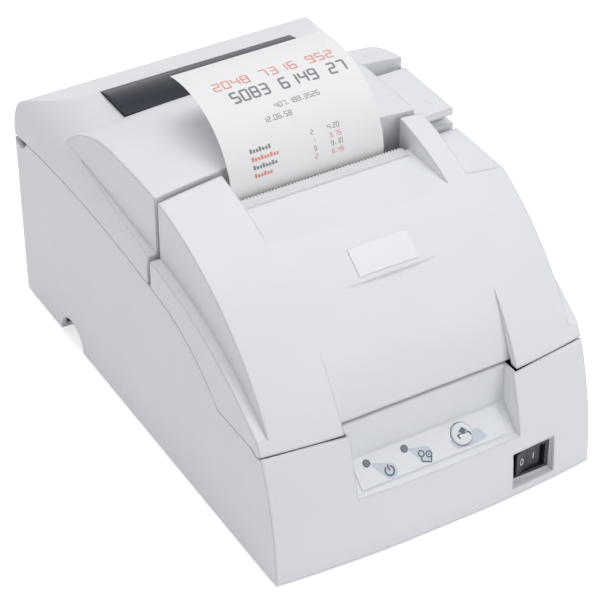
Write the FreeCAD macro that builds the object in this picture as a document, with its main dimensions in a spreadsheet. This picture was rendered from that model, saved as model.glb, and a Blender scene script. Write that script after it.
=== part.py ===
import FreeCAD, Part
import math
import os
import Sketcher

# Receipt printer: a lower case, two tipping covers, and the printing works inside.
# Millimetres. X to the right, Y to the rear, Z up. The feet stand on z = 0.

V = FreeCAD.Vector

SIZES = {
    # overall case
    "case_width": 160, "case_depth": 248, "case_height": 138.5, "foot_height": 2, "wall": 2.4,
    "seam_gap": 0.4, "fit_gap": 0.3, "run_gap": 0.08, "crown_radius": 425,
    # curves of the covers
    "front_arc": 170, "hump_arc": 128.5, "knee_reach": 115.5, "hump_rear_arc": 70, "hump_flat": 21,
    "side_seam_arc": 91, "rear_seam_arc": 557, "shoulder_arc": 165, "roll_arc": 26, "centre_arc": 90,
    # openings, panel, switch, window and badge
    "exit_half": 44.5, "centre_half": 43, "badge_half": 14.5, "badge_thick": 0.4, "panel_half": 41,
    "panel_rear_z": 43.8, "panel_front_z": 33.6, "panel_floor": 3.2, "button_radius": 5, "switch_z": 14.9,
    "switch_wide": 21, "switch_high": 15.5, "switch_depth": 2.2, "notch_radius": 11.5, "notch_z": 2,
    "dish_margin": 0.8, "dish_brow": 2.5, "window_half": 50, "window_ledge": 3, "window_arc": 38,
    # hinges
    "eye_radius": 1.9, "pin_radius": 1.1, "sweep_inner": 8.9, "sweep_outer": 4.3, "lobe_radius": 3.6,
    "lid_sweep": 6.9,
    # paper
    "roll_radius": 40, "paper_width": 76, "paper_x": -4, "bin_z": 64, "bin_radius": 41.5,
    "core_radius": 9, "core_wall": 2.5, "paper_thick": 0.2, "paper_arc": 34.2, "paper_top_arc": 51.7,
    "paper_turn": 64.9, "paper_end_turn": 38.5,
    # frame and works
    "frame_thick": 2, "frame_z": 16, "shaft_radius": 4, "carriage_half": 20, "belt_drop": 17,
    "belt_radius": 7, "belt_thick": 1, "belt_wide": 5, "motor_radius": 12, "motor_long": 24,
    "feed_radius": 6, "feed_half": 38, "feed_shaft_radius": 2.5, "gear_wide": 3, "gear_module": 1,
    "gear_teeth": 24, "pinion_teeth": 8, "feed_motor_radius": 10, "feed_motor_long": 18,
    "press_radius": 4, "nip_gap": 0.7, "cassette_high": 15, "knob_radius": 7, "platen_high": 14,
    # board, connectors, screws and feet
    "board_half": 34, "board_long": 110, "board_z": 9, "board_thick": 1.6, "plate_half": 37,
    "plate_low_z": 8.6, "plate_high_z": 30, "screw_radius": 1.5, "screw_head": 2.8, "foot_radius": 6,
}
# Places measured back from the front of the case
FROM_FRONT = {
    "hump_top_y": 126.3, "hump_end_y": 198, "side_seam_y": 52.5, "cover_rear_y": 110.5,
    "lid_front_y": 113.5, "shoulder_tip_y": 19.2, "exit_front_y": 62, "scoop_front_y": 74, "tear_y": 102.8,
    "centre_top_y": 46, "centre_low_y": 17.7, "badge_front_y": 47, "badge_rear_y": 57.5,
    "panel_rear_y": 17.5, "panel_front_y": 5.8, "cover_axis_y": 19.5, "lever_rear_y": 157,
    "lever_axis_y": 149, "lever_front_y": 111.8, "paper_y": 106.35, "frame_front_y": 50,
    "frame_rear_y": 109, "shaft_y": 72, "belt_y": 67, "feed_y": 100, "cassette_front_y": 33,
    "cassette_rear_y": 56, "foot_front_y": 28,
}
# Places measured forward from the rear of the case
FROM_REAR = {
    "deck_front_y": 64, "deck_rear_y": 32, "deck_edge_y": 4, "notch_y": 49.7, "lid_axis_y": 5.4,
    "window_front_y": 58, "window_rear_y": 32, "roll_y": 62, "board_rear_y": 6, "foot_rear_y": 18,
}
# Heights measured down from the top of the hump
FROM_TOP = {
    "front_seam_z": 75.2, "gap_seam_z": 49.1, "rear_seam_z": 47.7, "shoulder_front_z": 69,
    "shoulder_gap_z": 34.9, "shoulder_rear_z": 27.9, "deck_z": 16.5, "deck_edge_z": 28.5,
    "exit_floor_z": 14.7, "scoop_z": 18.1, "centre_top_z": 29, "cover_axis_z": 72.5, "lid_axis_z": 44.5,
    "lever_floor_z": 17.1, "lever_axis_z": 13.5, "lever_top_z": 7.8, "paper_bend_z": 15.5,
    "frame_top_z": 38.5, "shaft_z": 85.5, "feed_z": 42.5, "cassette_z": 72.5, "platen_z": 68.5,
}
# Places measured in from the side of the case
FROM_SIDE = {
    "hump_half": 5, "scoop_x": 24, "switch_x": 31.5, "ear_in": 14, "ear_out": 10.5, "boss_out": 2.2,
    "boss_in": 20, "lever_left": 26, "lever_right": 6.6, "frame_in": 20, "cassette_half": 22, "knob_x": 44,
    "pulley_x": 36, "foot_x": 14,
}

doc = FreeCAD.newDocument("receipt_printer")
sheet = doc.addObject("Spreadsheet::Sheet", "sizes")
ALL_SIZES = {**SIZES, **FROM_FRONT, **FROM_REAR, **FROM_TOP, **FROM_SIDE}
for row, (alias, number) in enumerate(ALL_SIZES.items(), start=1):
    sheet.set(f"A{row}", alias)
    sheet.set(f"B{row}", str(number))
    sheet.setAlias(f"B{row}", alias)
doc.recompute()


class Size:
    """A length that keeps its value beside the sheet expression that gives it."""

    def __init__(self, value, text):
        self.value = float(value)
        self.text = text

    def __add__(self, other):
        other = size(other)
        return Size(self.value + other.value, f"({self.text} + {other.text})")

    def __sub__(self, other):
        other = size(other)
        return Size(self.value - other.value, f"({self.text} - {other.text})")

    def __mul__(self, other):
        other = size(other)
        return Size(self.value * other.value, f"({self.text} * {other.text})")

    def __truediv__(self, other):
        other = size(other)
        return Size(self.value / other.value, f"({self.text} / {other.text})")

    def __radd__(self, other):
        return size(other) + self

    def __rsub__(self, other):
        return size(other) - self

    def __rmul__(self, other):
        return size(other) * self

    def __neg__(self):
        return Size(-self.value, f"(0 - {self.text})")


def size(number):
    return number if isinstance(number, Size) else Size(number, repr(float(number)))


def root(number):
    return Size(math.sqrt(number.value), f"sqrt({number.text})")


class Sheet:
    """The sheet's sizes by name."""


d = Sheet()
for alias in ALL_SIZES:
    setattr(d, alias, Size(sheet.get(alias), f"sizes.{alias}"))
half = d.case_width / 2
rear_y = d.case_depth / 2
front_y = -rear_y
for group, origin, sense in (
    (FROM_FRONT, front_y, 1), (FROM_REAR, rear_y, -1), (FROM_TOP, d.case_height, -1),
    (FROM_SIDE, half, -1)):
    for alias in group:
        setattr(d, alias, origin + getattr(d, alias) * sense)

TURN = {
    "X": FreeCAD.Rotation(V(0, 1, 0), 90), "Y": FreeCAD.Rotation(V(1, 0, 0), -90), "Z": FreeCAD.Rotation()
}
ON_YZ = FreeCAD.Rotation(V(0, 1, 0), V(0, 0, 1), V(1, 0, 0), "XYZ")
ON_XZ = FreeCAD.Rotation(V(1, 0, 0), V(0, 0, 1), V(0, -1, 0), "XYZ")


def bind(item, name, length):
    item.setExpression(name, size(length).text)


def place(item, x, y, z):
    for axis, length in zip("xyz", (x, y, z)):
        bind(item, f"Placement.Base.{axis}", length)


def box(name, x, y, z):
    item = doc.addObject("Part::Box", name)
    for side, (low, high) in zip(("Length", "Width", "Height"), (x, y, z)):
        bind(item, side, size(high) - low)
    place(item, x[0], y[0], z[0])
    return item


def pair(name, x, y, z):
    """The same box on the right and on the left."""
    return fuse(name, box(name + "_right", x, y, z), box(name + "_left", (-size(x[1]), -size(x[0])), y, z))


def rod(name, axis, radius, centre, span):
    item = doc.addObject("Part::Cylinder", name)
    item.Placement = FreeCAD.Placement(V(), TURN[axis])
    bind(item, "Radius", radius)
    bind(item, "Height", size(span[1]) - span[0])
    first, second = centre
    place(
        item,
        *{
            "X": (span[0], first, second), "Y": (first, span[0], second), "Z": (first, second, span[0])
        }[axis])
    return item


def rods(name, axis, radius, centre, span):
    """The same rod along X on the right and on the left."""
    mirrored = (-size(span[1]), -size(span[0]))
    return fuse(
        name, rod(name + "_right", axis, radius, centre, span),
        rod(name + "_left", axis, radius, centre, mirrored))


def cone(name, start_radius, end_radius, centre, span, side):
    """A cone along X on the right (side 1) or its mirror on the left (side -1)."""
    item = doc.addObject("Part::Cone", name)
    item.Placement = FreeCAD.Placement(V(), FreeCAD.Rotation(V(0, 1, 0), 90 * side))
    bind(item, "Radius1", start_radius)
    bind(item, "Radius2", end_radius)
    bind(item, "Height", size(span[1]) - span[0])
    place(item, size(span[0]) * side, *centre)
    return item


def fuse(name, *items):
    item = doc.addObject("Part::MultiFuse", name)
    item.Shapes = list(items)
    item.Refine = True
    return item


def cut(name, base, *tools):
    item = doc.addObject("Part::Cut", name)
    item.Base = base
    item.Tool = tools[0] if len(tools) == 1 else fuse(name + "_tools", *tools)
    item.Refine = True
    return item


def common(name, *items):
    item = doc.addObject("Part::MultiCommon", name)
    item.Shapes = list(items)
    return item


def sketch(name, rotation, points, offset=(0, 0, 0)):
    """A closed outline. A point is (u, v), or (u, v, radius) for an arc to it, bulging left if positive."""
    item = doc.addObject("Sketcher::SketchObject", name)
    item.Placement = FreeCAD.Placement(V(), rotation)
    place(item, *offset)
    spots = [V(size(point[0]).value, size(point[1]).value, 0) for point in points]
    for index, point in enumerate(points):
        start, end = spots[index - 1], spots[index]
        if len(point) == 2:
            item.addGeometry(Part.LineSegment(start, end))
            continue
        radius = abs(size(point[2]).value)
        chord = end - start
        bulge = math.copysign(1, size(point[2]).value)
        outward = V(-chord.y, chord.x, 0).normalize() * bulge
        middle = (start + end) / 2 + outward * (radius - math.sqrt(radius ** 2 - (chord.Length / 2) ** 2))
        item.addGeometry(Part.Arc(end, middle, start) if bulge > 0 else Part.Arc(start, middle, end))
    ends = [(2, 1) if len(point) == 3 and size(point[2]).value > 0 else (1, 2) for point in points]
    for index, point in enumerate(points):
        following = (index + 1) % len(points)
        item.addConstraint(
            Sketcher.Constraint("Coincident", index, ends[index][1], following, ends[following][0]))
        for kind, length in zip(("DistanceX", "DistanceY"), point):
            row = item.addConstraint(
                Sketcher.Constraint(kind, -1, 1, index, ends[index][1], size(length).value))
            bind(item, f"Constraints[{row}]", length)
        if len(point) == 3:
            radius = point[2] if size(point[2]).value > 0 else -size(point[2])
            row = item.addConstraint(Sketcher.Constraint("Radius", index, size(radius).value))
            bind(item, f"Constraints[{row}]", radius)
    return item


def side_prism(name, points, x):
    """A side outline (y, z), given clockwise as seen from the right, drawn out across X."""
    item = doc.addObject("Part::Extrusion", name)
    item.Base = sketch(name + "_line", ON_YZ, points, (x[0], 0, 0))
    item.DirMode = "Normal"
    item.Solid = True
    bind(item, "LengthFwd", size(x[1]) - x[0])
    return item


def crowned(name, points):
    """A side outline swung about a far axis below and behind, which crowns it across and bows its front."""
    lean = V(0, 0.847, 0.532)
    inward = V(0, 0.532, -0.847)
    item = doc.addObject("Part::Revolution", name)
    item.Source = sketch(name + "_line", ON_YZ, points)
    item.Axis = lean
    middle = V(0, 0, d.case_height.value * 0.8)
    item.Base = middle + inward * d.crown_radius.value
    item.Angle = 40
    item.Symmetric = True
    item.Solid = True
    return item


def finished(name, item):
    item.Label = name
    NODES[name] = item
    return item


NODES = {}
floor_z = d.foot_height + d.wall
inner_half = half - d.wall
inner_rear = rear_y - d.wall
hump_centre_z = d.case_height - d.hump_arc
rear_centre_y = d.hump_top_y + d.hump_flat
tall = d.case_height * 2
far = d.case_depth
wide = (-d.case_width, d.case_width)


def hump_line(back, down):
    """The covers' side outline on the middle plane, moved back and down for the inside."""
    knee_y = d.hump_top_y - d.knee_reach
    knee_z = hump_centre_z + root(d.hump_arc * d.hump_arc - d.knee_reach * d.knee_reach)
    return [(front_y + back, 0 - d.wall * 2), (knee_y + back, knee_z - down, d.front_arc),
            (d.hump_top_y + back, d.case_height - down, d.hump_arc),
            (rear_centre_y + back, d.case_height - down),
            (d.hump_end_y + back, d.case_height - d.hump_rear_arc + 48.4 - down, d.hump_rear_arc),
            (d.hump_end_y + back, 0 - d.wall * 2)]


def below_seam(name, lift):
    """All that lies below the seam of the lower case, raised by a lift."""
    line = [(0 - far, 0 - far), (0 - far, d.front_seam_z + lift), (d.side_seam_y, d.front_seam_z + lift),
            (d.lid_front_y - 1, d.gap_seam_z + lift, d.side_seam_arc),
            (rear_y, d.rear_seam_z + lift, d.rear_seam_arc), (far, d.rear_seam_z + lift), (far, 0 - far)]
    return side_prism(name, line, wide)


def shoulder_cut(name, half_width, down, y):
    """Both sides' room above the low shoulders, outside the hump."""
    line = [
        (front_y - 6, d.shoulder_front_z - down), (front_y - 6, tall), (far, tall),
        (far, d.shoulder_rear_z - down), (d.deck_front_y + 6, d.shoulder_rear_z - down),
        (d.lid_front_y, d.shoulder_gap_z - down),
        (d.shoulder_tip_y, d.shoulder_front_z - down, -d.shoulder_arc)]
    right = side_prism(name + "_right", line, (half_width, half_width + far))
    left = side_prism(name + "_left", line, (-(half_width + far), -half_width))
    return common(name, fuse(name + "_both", right, left), box(name + "_span", wide, y, (0, tall)))


skin = d.wall * 1.1
hump = crowned("hump_form", hump_line(0, 0))
hump_inside = crowned("hump_hollow", hump_line(skin, skin))


# Lower case: an open tub with a bowed front, a panel recess and a switch recess
case_top = below_seam("case_zone", 0)
tub = fuse(
    "tub_form",
    common("tub_front", hump, box("tub_front_room", (-half, half), (front_y, 0), (d.foot_height, tall))),
    box("tub_rear", (-half, half), (-60, rear_y), (d.foot_height, d.rear_seam_z + 6)))
tub_hollow = fuse("tub_hollow",
                  common("tub_hollow_front", hump_inside,
                         box("tub_hollow_room", (-inner_half, inner_half), (front_y, 0), (floor_z, tall))),
                  box("tub_hollow_rear", (-inner_half, inner_half), (-60, inner_rear), (floor_z, tall)))
panel_slope = (d.panel_rear_z - d.panel_front_z) / (d.panel_rear_y - d.panel_front_y)
recess_line = [(front_y - 20, d.panel_front_z), (front_y - 20, tall), (d.panel_rear_y, tall),
               (d.panel_rear_y, d.panel_rear_z), (d.panel_front_y, d.panel_front_z)]
recess = side_prism("panel_recess", recess_line, (-d.panel_half, d.panel_half))
recess_skin = common(
    "recess_skin", tub, case_top,
    side_prism(
        "recess_block",
        [
            (front_y - 20, tall), (d.panel_rear_y + d.wall, tall),
            (d.panel_rear_y + d.wall, d.panel_rear_z - d.panel_floor + d.wall * panel_slope),
            (
                front_y - 20,
                d.panel_front_z - d.panel_floor - (d.panel_front_y - front_y + 20) * panel_slope)],
        (-d.panel_half - d.wall, d.panel_half + d.wall)))
switch_x = (d.switch_x - d.switch_wide / 2, d.switch_x + d.switch_wide / 2)
switch_z = (d.switch_z - d.switch_high / 2, d.switch_z + d.switch_high / 2)
switch_face_y = front_y + 3 + d.switch_depth
switch_hole = box("switch_hole", switch_x, (front_y - 5, front_y + 20), switch_z)
dish_x = (switch_x[0] - d.dish_margin, switch_x[1] + d.dish_margin)
dish_z = (switch_z[0] - d.dish_margin, switch_z[1] + d.dish_brow)
switch_dish = box("switch_dish", dish_x, (front_y - 5, switch_face_y), dish_z)
switch_skin = common(
    "switch_skin", tub,
    box("switch_block", (dish_x[0] - d.wall, dish_x[1] + d.wall), (front_y, switch_face_y + d.wall),
        (floor_z - 1, dish_z[1] + d.wall)))
notch = rods("cable_notch", "X", d.notch_radius, (d.notch_y, d.notch_z), (inner_half - 4, half + 1))
plate_hole = box("plate_hole", (-d.plate_half, d.plate_half), (inner_rear - 5, rear_y + 5),
                 (d.plate_low_z, d.plate_high_z))
cover_axis = (d.cover_axis_y, d.cover_axis_z)
sweep_span = (d.centre_half - 1, half + 1)
cover_sweep = fuse(
    "cover_sweep", cone("cover_sweep_right", d.sweep_inner, d.sweep_outer, cover_axis, sweep_span, 1),
    cone("cover_sweep_left", d.sweep_inner, d.sweep_outer, cover_axis, sweep_span, -1))
lid_sweep = rod("lid_sweep", "X", d.lid_sweep, (d.lid_axis_y, d.lid_axis_z), (-half - 1, half + 1))
case_shell = cut(
    "case_shell",
    fuse(
        "case_walls", cut("case_tub", common("case_body", tub, case_top), tub_hollow), recess_skin,
        switch_skin),
    recess, switch_hole, switch_dish, notch, plate_hole, cover_sweep, lid_sweep)
post_y = (d.cover_axis_y + 12.5, d.cover_axis_y + 18.5)
arm_z = (d.cover_axis_z - 1.6, d.cover_axis_z + 0.6)
ear_x = (d.ear_in, d.ear_out)
rear_eye = d.pin_radius + 1.7
ears = fuse(
    "case_ears",
    pair("front_post", (d.ear_in, inner_half + 0.5), post_y, (d.cover_axis_z - 36, d.cover_axis_z - 6)),
    pair("front_post_top", ear_x, post_y, (d.cover_axis_z - 7, arm_z[1])),
    pair("front_arm", ear_x, (d.cover_axis_y, post_y[1]), arm_z),
    rods("front_eye", "X", d.eye_radius, cover_axis, ear_x),
    pair(
        "rear_post", ear_x, (d.lid_axis_y - rear_eye, rear_y),
        (d.lid_axis_z - 24, d.lid_axis_z - d.lid_sweep)),
    pair(
        "rear_post_top", ear_x, (d.lid_axis_y - rear_eye, d.lid_axis_y + rear_eye),
        (d.lid_axis_z - d.lid_sweep - 1, d.lid_axis_z)),
    rods("rear_eye", "X", rear_eye, (d.lid_axis_y, d.lid_axis_z), ear_x))
screw_x = d.frame_in - 10
SCREWS = [(x, y) for y in (d.frame_front_y + 8, d.frame_rear_y - 9) for x in (-screw_x, screw_x)]
board_front_y = d.board_rear_y - d.board_long
BOARD_BOSSES = [
    (x, y) for y in (board_front_y + 6, d.board_rear_y - 22) for x in (5 - d.board_half, d.board_half - 5)
]
frame_bosses = fuse("frame_bosses",
                    *[rod(f"frame_boss_{i}", "Z", 4, (x, y), (floor_z - 0.5, d.frame_z))
                      for i, (x, y) in enumerate(SCREWS)])
board_bosses = fuse("board_bosses",
                    *[rod(f"board_boss_{i}", "Z", 3, (x, y), (floor_z - 0.5, d.board_z))
                      for i, (x, y) in enumerate(BOARD_BOSSES)])
eye_holes = fuse(
    "eye_holes",
    rods("front_eye_hole", "X", d.pin_radius + d.run_gap, cover_axis, (d.ear_in - 1, d.ear_out + 1)),
    rods(
        "rear_eye_hole", "X", d.pin_radius + d.run_gap, (d.lid_axis_y, d.lid_axis_z),
        (d.ear_in - 1, d.ear_out + 1)),
    *[
        rod(f"screw_hole_{i}", "Z", d.screw_radius + 0.05, spot, (d.frame_z - 6, d.frame_z + 1))
        for i, spot in enumerate(SCREWS)])
finished(
    "lower_case",
    cut("lower_case", fuse("case_whole", case_shell, ears, frame_bosses, board_bosses), eye_holes))
finished("rubber_feet", fuse("rubber_feet", *[
    rod(f"foot_{i}", "Z", d.foot_radius, (x, y), (0, d.foot_height))
    for i, (x, y) in enumerate(((-d.foot_x, d.foot_front_y), (d.foot_x, d.foot_front_y),
                                (-d.foot_x, d.foot_rear_y), (d.foot_x, d.foot_rear_y)))]))

# Printer cover: the front hump with low shoulders, the paper exit and a finger scoop
cover_span = (front_y - 5, d.cover_rear_y)
cover_room = box("cover_room", (-half, half), cover_span, (d.foot_height, tall))
cover_low = below_seam("cover_low", d.seam_gap)
centre_low_z = d.front_seam_z + 1.4
centre_cut = side_prism(
    "centre_cut",
    [
        (front_y - 20, d.front_seam_z - 20), (front_y - 20, d.centre_top_z),
        (d.centre_top_y, d.centre_top_z), (d.centre_low_y, centre_low_z, -d.centre_arc),
        (d.centre_low_y, d.front_seam_z - 20)],
    (-d.centre_half, d.centre_half))
centre_skin = side_prism(
    "centre_skin",
    [
        (d.centre_low_y, centre_low_z), (d.centre_top_y, d.centre_top_z, d.centre_arc),
        (d.centre_top_y + 2, d.centre_top_z - 2), (d.centre_low_y + 2.6, centre_low_z, -d.centre_arc)],
    (-d.centre_half - d.wall, d.centre_half + d.wall))
cover_outer = cut("cover_outer", common("cover_form", hump, cover_room),
                  shoulder_cut("cover_shoulders", d.hump_half, 0, cover_span), cover_low)
cover_inner = cut(
    "cover_inner",
    common(
        "cover_hollow", hump_inside,
        box("cover_hollow_room", (-inner_half, inner_half), (front_y - 5, 0), (0, tall))),
    shoulder_cut("cover_inner_shoulders", d.hump_half - d.wall, d.wall, (front_y - 5, 0)))
exit_cut = box(
    "exit_cut", (-d.exit_half, d.exit_half), (d.exit_front_y, d.lid_front_y), (d.exit_floor_z, tall))
exit_slot = box("exit_slot", (-d.exit_half, d.exit_half), (d.tear_y, d.lid_front_y), (d.feed_z - 16, tall))
scoop_cut = box("scoop_cut", (d.scoop_x, far), (d.scoop_front_y, d.lid_front_y), (d.scoop_z, tall))
cover_plates = common(
    "cover_plates", cover_outer,
    fuse(
        "cover_plate_set",
        box(
            "exit_floor", (-d.exit_half - d.wall, d.exit_half + d.wall), (d.exit_front_y - 6, d.tear_y),
            (d.exit_floor_z - d.wall, d.exit_floor_z)),
        pair(
            "exit_wall", (d.exit_half, d.exit_half + d.wall), (d.exit_front_y - 6, d.lid_front_y),
            (d.scoop_z - d.wall, tall)),
        box(
            "scoop_floor", (d.exit_half, half), (d.scoop_front_y - 4, d.lid_front_y),
            (d.scoop_z - d.wall, d.scoop_z)),
        box(
            "scoop_wall", (d.scoop_x - d.wall, d.scoop_x), (d.scoop_front_y - 4, d.lid_front_y),
            (d.scoop_z - d.wall, tall)),
        pair(
            "cover_boss", (d.boss_in, d.ear_in - d.fit_gap), (d.cover_axis_y - 12, d.cover_axis_y + 3),
            (d.front_seam_z + d.seam_gap, d.cover_axis_z + 3)),
        centre_skin))
eye_room = rods(
    "eye_room", "X", d.eye_radius + d.fit_gap * 2, cover_axis,
    (d.ear_in - d.fit_gap, d.ear_out + d.fit_gap))
lobes = common("cover_lobes", hump, rods("lobe_discs", "X", d.lobe_radius, cover_axis, (inner_half, half)))
cover_pin_hole = rods("cover_pin_hole", "X", d.pin_radius, cover_axis, (d.boss_in, d.ear_out))
finished(
    "printer_cover",
    cut(
        "printer_cover",
        fuse("cover_whole", cut("cover_shell", cover_outer, cover_inner), cover_plates, lobes), eye_room,
        exit_cut, exit_slot, scoop_cut, centre_cut, cover_pin_hole))
finished(
    "cover_hinge_pins",
    rods("cover_hinge_pins", "X", d.pin_radius, cover_axis, (d.boss_in + 0.3, d.ear_out)))
badge_form = common(
    "badge_form", crowned("badge_skin", hump_line(-d.badge_thick, -d.badge_thick)),
    box("badge_room", (-d.badge_half, d.badge_half), (d.badge_front_y, d.badge_rear_y), (90, tall)))
finished("badge_plate", cut("badge_plate", badge_form, hump))

# Roll paper cover: rear deck with rolled sides, and the hump's rear part
lid_span = (d.lid_front_y, rear_y)


def deck(name, inset):
    """The lid's deck: its side outline held inside a section with rounded shoulders."""
    top = d.deck_z - inset
    line = [
        (d.lid_front_y + inset, 60), (d.lid_front_y + inset, d.shoulder_gap_z - inset),
        (d.deck_front_y, d.shoulder_rear_z - inset), (d.deck_front_y, top), (d.deck_rear_y, top),
        (d.deck_edge_y - inset, d.deck_edge_z - inset), (rear_y - inset, d.deck_edge_z - 5 - inset, 5),
        (rear_y - inset, 60)]
    body = side_prism(name + "_side", line, (-half, half))
    edge = half - inset
    flat = edge - d.roll_arc + inset
    drop = top - d.roll_arc + inset
    section = [(0 - edge, 60), (0 - edge, drop), (0 - flat, top, d.roll_arc - inset), (flat, top),
               (edge, drop, d.roll_arc - inset), (edge, 60)]
    item = doc.addObject("Part::Extrusion", name + "_section")
    item.Base = sketch(name + "_section_line", ON_XZ, section, (0, far, 0))
    item.DirMode = "Normal"
    item.Solid = True
    bind(item, "LengthFwd", far * 2)
    return common(name, body, item)


lid_hump = common("lid_hump", hump, box("lid_hump_room", (-d.hump_half, d.hump_half), lid_span, (80, tall)))
lid_hump_inside = common("lid_hump_inside", hump_inside,
                         box("lid_hump_inside_room", (d.wall - d.hump_half, d.hump_half - d.wall),
                             (d.lid_front_y + d.wall, rear_y), (60, tall)))
lid_outer = cut(
    "lid_outer", fuse("lid_form", deck("lid_deck", size(0)), lid_hump), below_seam("lid_low", d.seam_gap))
lid_inner = fuse("lid_inner", deck("lid_deck_inside", d.wall), lid_hump_inside)
lever_room = box(
    "lever_room", (d.lever_left, far), (d.lid_front_y - 20, d.lever_rear_y), (d.lever_floor_z, tall))
window_room = box(
    "window_room", (-d.window_half, d.window_half), (d.window_front_y, d.window_rear_y),
    (d.deck_z - d.wall, tall))
window_hole = box("window_hole", (d.window_ledge - d.window_half, d.window_half - d.window_ledge),
                  (d.window_front_y + d.window_ledge, d.window_rear_y - d.window_ledge), (100, tall))
mouth_half = d.hump_half - 5
mouth_top = d.lever_floor_z - 9.4
lid_mouth = box("lid_mouth", (-mouth_half, mouth_half), (d.lid_front_y - 1, d.lid_front_y + d.wall + 0.5),
                (d.rear_seam_z - 30, mouth_top))
lid_axis = (d.lid_axis_y, d.lid_axis_z)
lid_plates = common(
    "lid_plates", lid_outer,
    fuse(
        "lid_plate_set",
        box(
            "lever_floor", (d.lever_left - d.wall, half), (d.lid_front_y - 20, d.lever_rear_y + d.wall),
            (d.lever_floor_z - d.wall, d.lever_floor_z)),
        box(
            "lever_wall", (d.lever_left - d.wall, d.lever_left),
            (d.lid_front_y - 20, d.lever_rear_y + d.wall), (d.lever_floor_z - d.wall, tall)),
        box(
            "lever_back", (d.lever_left - d.wall, half), (d.lever_rear_y, d.lever_rear_y + d.wall),
            (d.lever_floor_z - d.wall, tall)),
        box(
            "window_frame", (-d.window_half - 4, d.window_half + 4),
            (d.window_front_y - 4, d.window_rear_y + 3), (d.deck_z - d.wall * 2, d.deck_z - d.wall)),
        pair(
            "lid_boss", (d.ear_out + d.fit_gap, inner_half + 0.5), (d.lid_axis_y - 2.8, rear_y),
            (d.rear_seam_z + d.seam_gap, d.lid_axis_z + 3.5))))
press_y = d.feed_y + d.feed_radius + d.nip_gap + d.press_radius
arm_x = (d.feed_half + 3, d.feed_half + 6.5)
arm_rear_y = d.lid_front_y + 12.5
lid_arms = fuse("lid_arms",
                pair("arm_upright", arm_x, (d.lid_front_y, arm_rear_y), (d.feed_z + 6, mouth_top + 4)),
                pair("arm_reach", arm_x, (press_y - 2.9, arm_rear_y), (d.feed_z - 6, d.feed_z + 8)))
lever_lug = box(
    "lever_lug", (d.lever_right + d.fit_gap, d.hump_half - 0.3),
    (d.lever_axis_y - 4, d.lever_rear_y + 0.5), (d.lever_floor_z - 0.5, d.lever_axis_z + 3))
lid_holes = fuse(
    "lid_holes", rods("lid_pin_hole", "X", d.pin_radius, lid_axis, (d.ear_in, d.boss_out)),
    pair(
        "ear_slot", (d.ear_in - 0.4, d.ear_out + 0.2), (d.lid_axis_y - 4, rear_y + 1),
        (d.rear_seam_z - 10, d.lid_axis_z + 4)),
    rod("press_hole", "X", 1.5 + d.run_gap, (press_y, d.feed_z), (-arm_x[1] - 1, arm_x[1] + 1)),
    rod(
        "lever_pin_hole", "X", 1.2, (d.lever_axis_y, d.lever_axis_z),
        (d.lever_left - d.wall, d.hump_half + 1)))
finished(
    "roll_paper_cover",
    cut(
        "roll_paper_cover",
        fuse(
            "lid_whole", cut("lid_shell", lid_outer, lid_inner, lever_room, window_room, lid_mouth),
            cut("lid_inside_plates", lid_plates, lever_room, window_room), lid_arms, lever_lug),
        window_hole, lid_holes))
lid_pin_x = (d.ear_in, d.boss_out - 0.3)
finished("lid_hinge_pins", rods("lid_hinge_pins", "X", d.pin_radius, lid_axis, lid_pin_x))
window_low_z = d.deck_z - d.wall
window_y = (d.window_front_y + d.fit_gap, d.window_rear_y - d.fit_gap)
window_line = [
    (window_y[0], window_low_z), (window_y[0], d.deck_z + 1.4),
    (window_y[1], d.deck_z - 0.2, d.window_arc), (window_y[1], window_low_z)]
finished(
    "paper_window",
    side_prism("paper_window", window_line, (d.fit_gap - d.window_half, d.window_half - d.fit_gap)))
lever_x = (d.lever_left + d.fit_gap, d.lever_right)
lever_body = fuse(
    "lever_body",
    box(
        "lever_top", lever_x, (d.lever_front_y, d.lever_axis_y + 2.5),
        (d.lever_top_z - 3.4, d.lever_top_z)),
    box(
        "lever_front", lever_x, (d.lever_front_y + 6.2, d.lever_front_y + 8.8),
        (d.lever_floor_z + 0.6, d.lever_top_z - 1)),
    box(
        "lever_heel", lever_x, (d.lever_axis_y - 4, d.lever_axis_y + 2),
        (d.lever_axis_z - 2, d.lever_top_z - 1)))
finished("cover_open_lever", cut("cover_open_lever", lever_body,
                                 rod("lever_bore", "X", 1.28, (d.lever_axis_y, d.lever_axis_z), (0, half))))
finished(
    "lever_pin",
    rod(
        "lever_pin", "X", 1.2, (d.lever_axis_y, d.lever_axis_z),
        (d.lever_left - d.wall, d.hump_half - 0.4)))
finished(
    "pressure_roller",
    fuse(
        "pressure_roller",
        rod("press_body", "X", d.press_radius, (press_y, d.feed_z), (-d.feed_half, d.feed_half)),
        rod("press_shaft", "X", 1.5, (press_y, d.feed_z), (0.1 - arm_x[1], arm_x[1] - 0.1))))
finished(
    "tear_bar",
    box(
        "tear_bar", (-d.exit_half + 3, d.exit_half - 3), (d.tear_y - 5, d.tear_y + 0.4),
        (d.exit_floor_z, d.exit_floor_z + 1)))

# Control panel on the sloped floor of the recess
slope_turn = math.degrees(math.atan(panel_slope.value))
slope_along = V(0, math.cos(math.radians(slope_turn)), math.sin(math.radians(slope_turn)))
slope_up = V(0, -slope_along.z, slope_along.y)
slope_foot = V(0, d.panel_front_y.value, d.panel_front_z.value)


def on_slope(x, along, up):
    return slope_foot + V(x, 0, 0) + slope_along * along + slope_up * up


def slope_box(name, x, along, up):
    item = doc.addObject("Part::Box", name)
    item.Length, item.Width, item.Height = x[1] - x[0], along[1] - along[0], up[1] - up[0]
    item.Placement = FreeCAD.Placement(
        on_slope(x[0], along[0], up[0]), FreeCAD.Rotation(V(1, 0, 0), slope_turn))
    return item


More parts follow.
